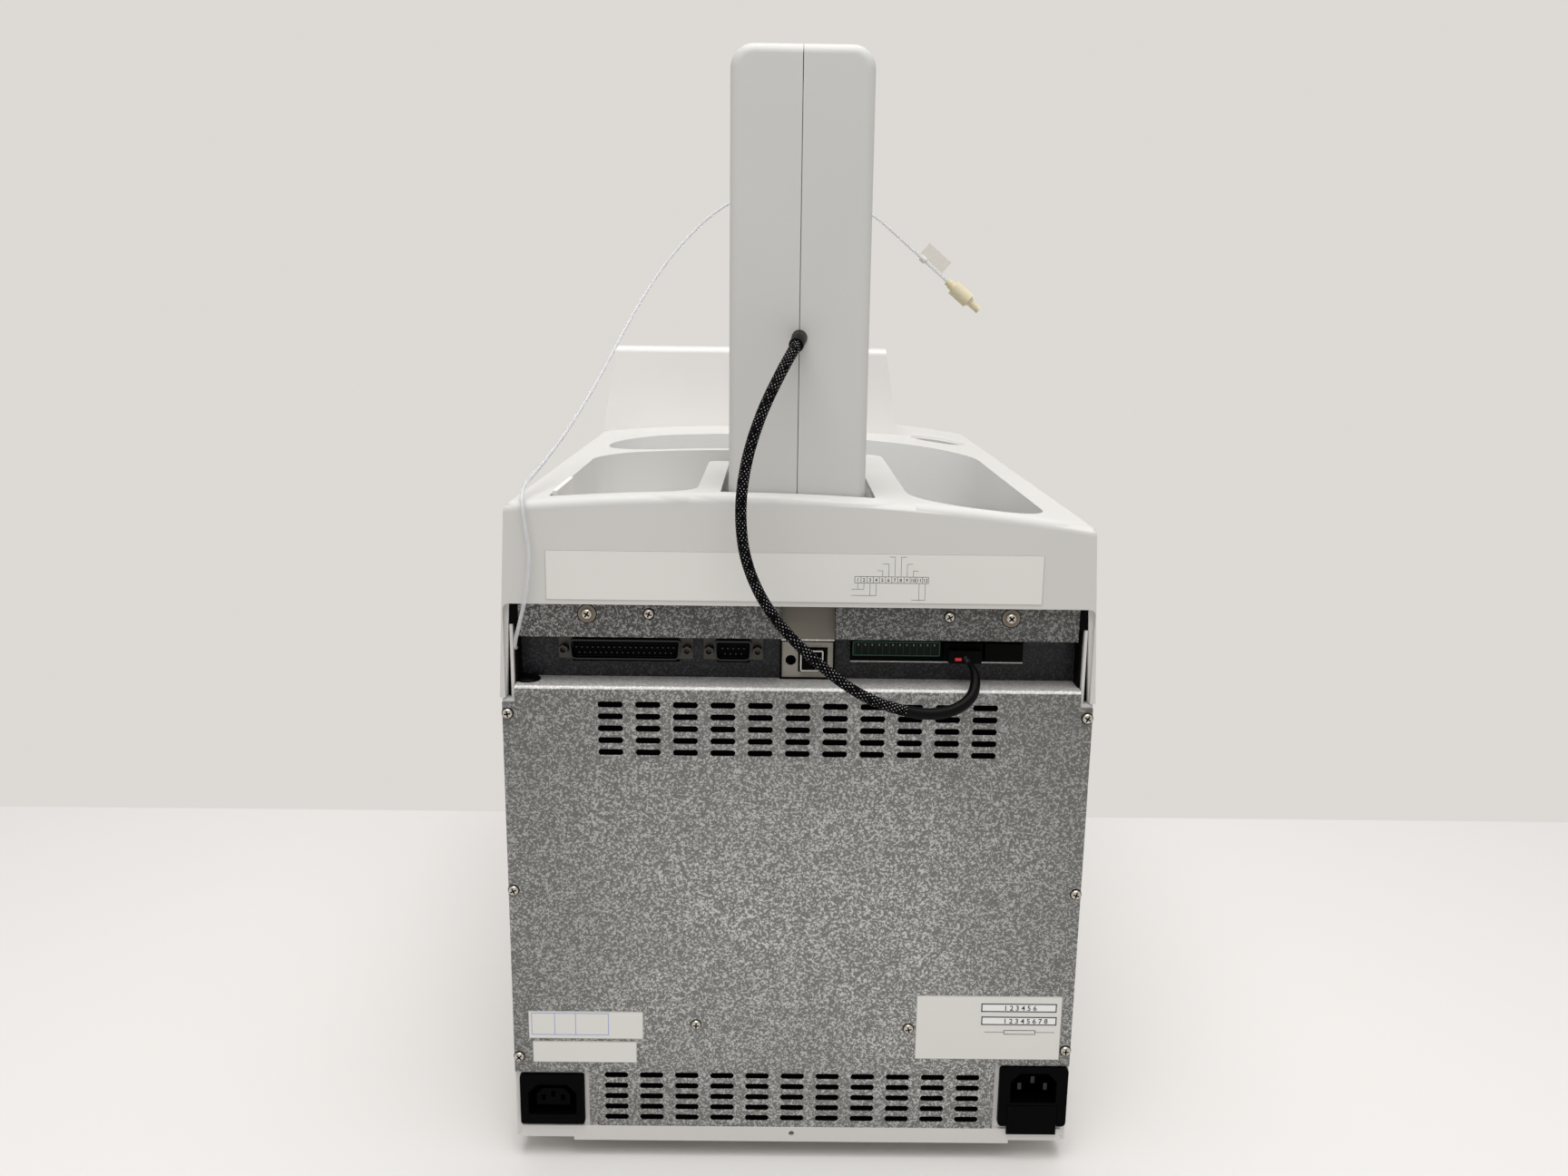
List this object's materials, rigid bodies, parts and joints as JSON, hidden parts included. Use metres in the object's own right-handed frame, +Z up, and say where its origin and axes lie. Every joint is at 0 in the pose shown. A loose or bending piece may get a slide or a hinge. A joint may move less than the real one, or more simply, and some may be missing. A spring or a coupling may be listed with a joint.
{
  "type": "ion chromatograph",
  "caption": "Autosampler module of an ion chromatograph seen from its connector side: a crowned cover over a vial carousel, a sliding needle tower, and a vented zinc rear panel.",
  "frame": {"origin": "centre of the bounding box's bottom face, on the bench, measured without the cords", "axes": "+Z up, +Y out of the rear panel with its connectors, -Y out of the front door, +X to the left when the rear panel is looked at"},
  "size_m": [0.302, 0.5012, 0.577],
  "materials": {
    "cover_plastic": "fine moulded texture, off-white",
    "tower_plastic": "fine moulded texture, light grey",
    "white_paint": "semi-gloss off-white",
    "zinc_sheet": "galvanised, spangled",
    "plated_shell": "plated",
    "screw_steel": "zinc plated",
    "ground_steel": "ground",
    "plain_aluminium": "machined",
    "black_plastic": "moulded black",
    "black_gloss": "smooth black",
    "green_plastic": "moulded dark green",
    "foot_rubber": "matt black",
    "motor_black": "satin black",
    "clear_glass": "clear",
    "tray_plastic": "dark grey",
    "vial_plastic": "milky",
    "cap_plastic": "blue-grey",
    "gear_plastic": "natural acetal",
    "gear_brass": "machined",
    "board_green": "solder mask",
    "valve_plastic": "natural tan",
    "display_glass": "dark window",
    "key_plastic": "grey membrane",
    "black_braid": "braided sleeve",
    "clear_tube": "translucent",
    "ivory_plastic": "natural ivory",
    "flag_film": "translucent blank",
    "label_film": "blank grey film",
    "clear_grey_plastic": "off-white"
  },
  "bodies": {
    "chassis": {"base_pan": "white_paint", "side_panel_left": "white_paint", "side_panel_right": "white_paint", "front_frame": "white_paint", "top_cover": "cover_plastic", "control_head": "cover_plastic", "rinse_cup": "cover_plastic", "wash_cup": "clear_grey_plastic", "rear_panel": "zinc_sheet", "connector_plate": "zinc_sheet", "cross_strip": "zinc_sheet", "usb_card_bracket": "zinc_sheet", "carousel_deck": "zinc_sheet", "component_panel": "zinc_sheet", "power_supply": "zinc_sheet", "connector_shells": "plated_shell", "rear_screws": "screw_steel", "contact_pins": "plated_shell", "accessory_outlet": "black_plastic", "power_inlet": "black_plastic", "connector_cores": "black_plastic", "signal_plug": "black_plastic", "grommets": "black_gloss", "terminal_header": "green_plastic", "feet": "foot_rubber", "spindle": "ground_steel", "slide_rods": "ground_steel", "door_pins": "ground_steel", "drive_motors": "motor_black", "circuit_boards": "board_green", "valve_stator": "valve_plastic", "switch_case": "black_plastic", "display_window": "display_glass", "keypad": "key_plastic", "signal_cable": "black_braid", "sample_tubing": "clear_tube", "union_fitting": "ivory_plastic", "tube_flag": "flag_film", "label_plates": "label_film"},
    "tower": {"tower_shell_left": "tower_plastic", "tower_shell_right": "tower_plastic", "tower_frame": "plain_aluminium", "tower_gland": "black_gloss", "lift_motor": "motor_black", "syringe_barrel": "clear_glass"},
    "lift_screw_body": {"lift_screw": "ground_steel"},
    "needle_carriage": {"needle_arm": "plain_aluminium", "needle": "ground_steel"},
    "plunger": {"syringe_plunger": "ground_steel"},
    "slide_screw_body": {"slide_screw": "ground_steel"},
    "carousel": {"turntable": "plain_aluminium", "vial_tray": "tray_plastic", "sample_vials": "vial_plastic", "vial_caps": "cap_plastic", "drive_gear": "gear_plastic"},
    "pinion": {"drive_pinion": "gear_brass"},
    "door": {"front_door": "cover_plastic"},
    "rotor": {"valve_rotor": "valve_plastic"},
    "rocker": {"power_rocker": "black_gloss"},
    "drawer": {"fuse_drawer": "black_plastic"}
  },
  "joints": [
    {"name": "tower_slide", "type": "slide", "parent": "chassis", "child": "tower", "axis": [0, -1, 0], "range_m": [0, 0.09]},
    {"name": "slide_screw_turn", "type": "hinge", "parent": "chassis", "child": "slide_screw_body", "pos_m": [-0.0437, 0.1141, 0.333], "axis": [0, 1, 0], "range_deg": [-2, 1622]},
    {"name": "needle_lift", "type": "slide", "parent": "tower", "child": "needle_carriage", "axis": [0, 0, -1], "range_m": [0, 0.072]},
    {"name": "lift_screw_turn", "type": "hinge", "parent": "tower", "child": "lift_screw_body", "pos_m": [0.002, 0.1936, 0.44], "axis": [0, 0, 1], "range_deg": [-2, 1298]},
    {"name": "plunger_draw", "type": "slide", "parent": "tower", "child": "plunger", "axis": [0, 0, -1], "range_m": [0, 0.042]},
    {"name": "carousel_turn", "type": "hinge", "parent": "chassis", "child": "carousel", "pos_m": [0.002, 0.0691, 0.265], "axis": [0, 0, 1], "continuous": true},
    {"name": "pinion_turn", "type": "hinge", "parent": "chassis", "child": "pinion", "pos_m": [-0.0483, 0.0691, 0.25], "axis": [0, 0, 1], "continuous": true},
    {"name": "door_swing", "type": "hinge", "parent": "chassis", "child": "door", "pos_m": [0.143, -0.2284, 0.16], "axis": [0, 0, 1], "range_deg": [0, 110]},
    {"name": "valve_turn", "type": "hinge", "parent": "chassis", "child": "rotor", "pos_m": [-0.062, -0.1699, 0.15], "axis": [0, 1, 0], "range_deg": [0, 60]},
    {"name": "switch_tilt", "type": "hinge", "parent": "chassis", "child": "rocker", "pos_m": [0.105, -0.1689, 0.06], "axis": [-1, 0, 0], "range_deg": [0, 16]},
    {"name": "drawer_pull", "type": "slide", "parent": "chassis", "child": "drawer", "axis": [0, 1, 0], "range_m": [0, 0.016]}
  ],
  "couplings": [
    {"joint": "slide_screw_turn", "follows": "tower_slide", "rad_per_m": 314.16},
    {"joint": "lift_screw_turn", "follows": "needle_lift", "rad_per_m": 314.16},
    {"joint": "pinion_turn", "follows": "carousel_turn", "ratio": -4}
  ]
}
